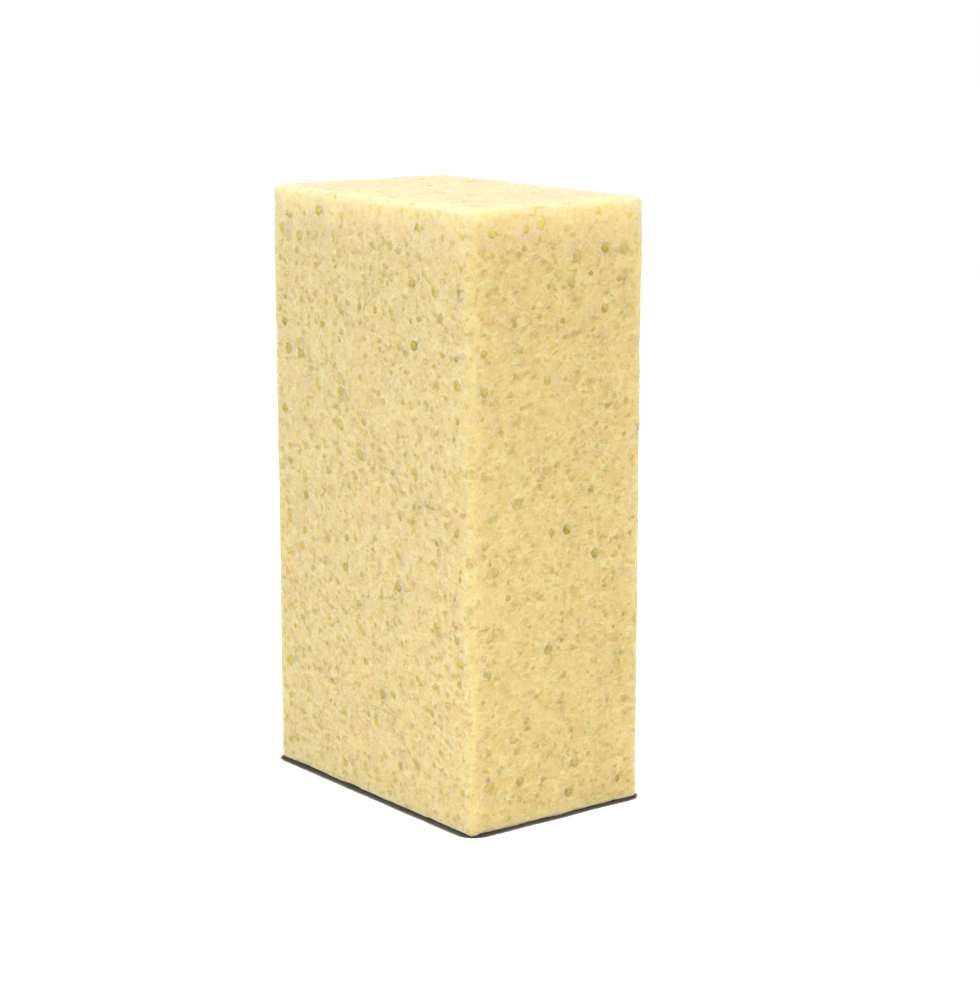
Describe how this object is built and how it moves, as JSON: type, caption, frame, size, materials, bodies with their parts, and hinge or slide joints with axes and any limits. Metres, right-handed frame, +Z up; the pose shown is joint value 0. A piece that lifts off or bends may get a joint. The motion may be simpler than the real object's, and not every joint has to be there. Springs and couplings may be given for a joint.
{
  "type": "cleaning sponge",
  "caption": "Rectangular block of pale yellow open-celled foam, a cleaning sponge standing on its short end, with soft rounded edges and round open pores on every face.",
  "frame": {"origin": "centre of the short end that the block stands on", "axes": "+Z up along the block's length, X across the two broad faces, Y through its thickness"},
  "size_m": [0.11, 0.07, 0.2],
  "materials": {
    "foam": "matt open-celled polyurethane foam, pale cream yellow"
  },
  "bodies": {
    "root": {"sponge_block": "foam"}
  },
  "joints": []
}
